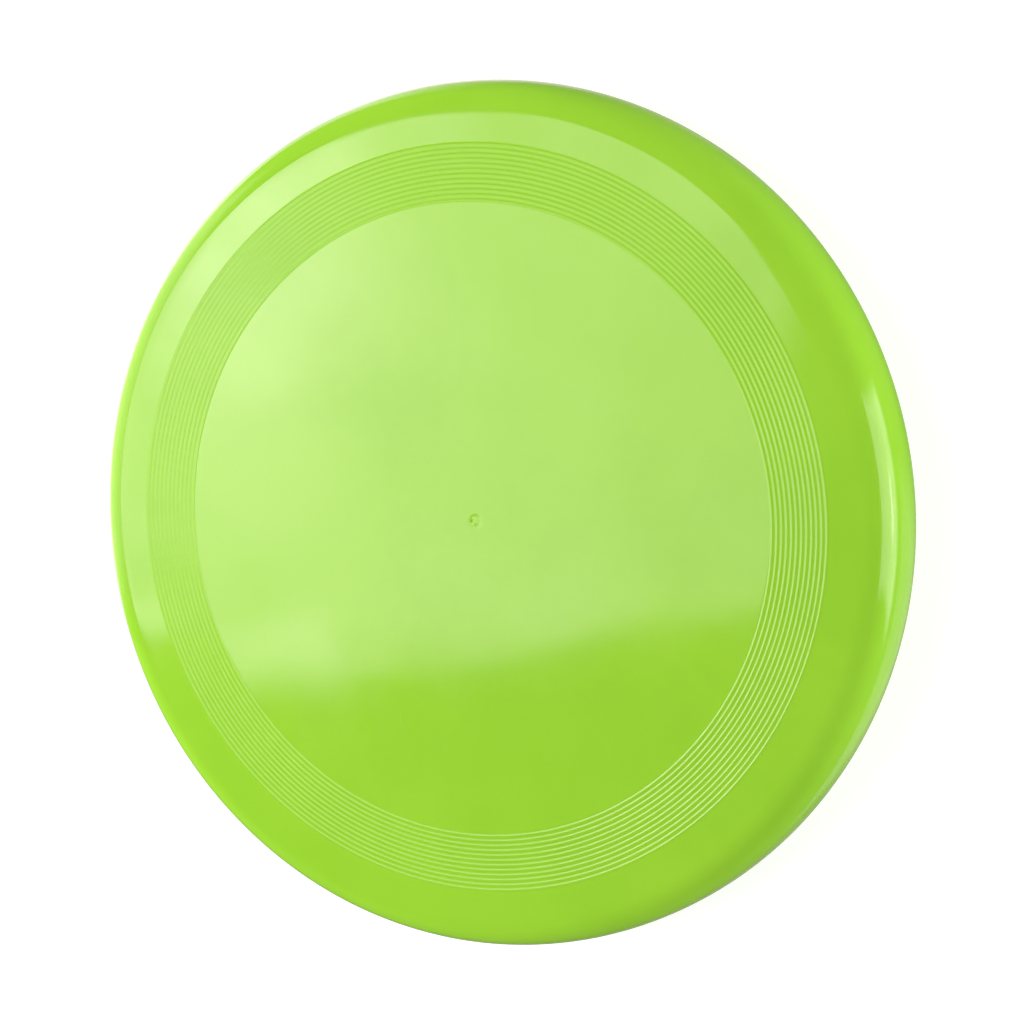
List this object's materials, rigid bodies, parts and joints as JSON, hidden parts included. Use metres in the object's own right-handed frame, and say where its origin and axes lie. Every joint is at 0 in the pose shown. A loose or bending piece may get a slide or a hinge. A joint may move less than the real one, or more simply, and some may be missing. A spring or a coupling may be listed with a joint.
{
  "type": "flying disc",
  "caption": "Round one-piece flying disc with a flat plate, a band of raised grip rings, a rounded shoulder and a deep rim that is open underneath.",
  "frame": {"origin": "on the disc's axis, at the height of the rim's foot, where the disc meets the ground", "axes": "+Z along the disc's axis, up from the foot through the plate; X and Y are alike, because the disc is round"},
  "size_m": [0.27, 0.27, 0.0304],
  "materials": {
    "lime_plastic": "gloss"
  },
  "bodies": {
    "root": {"disc": "lime_plastic"}
  },
  "joints": []
}
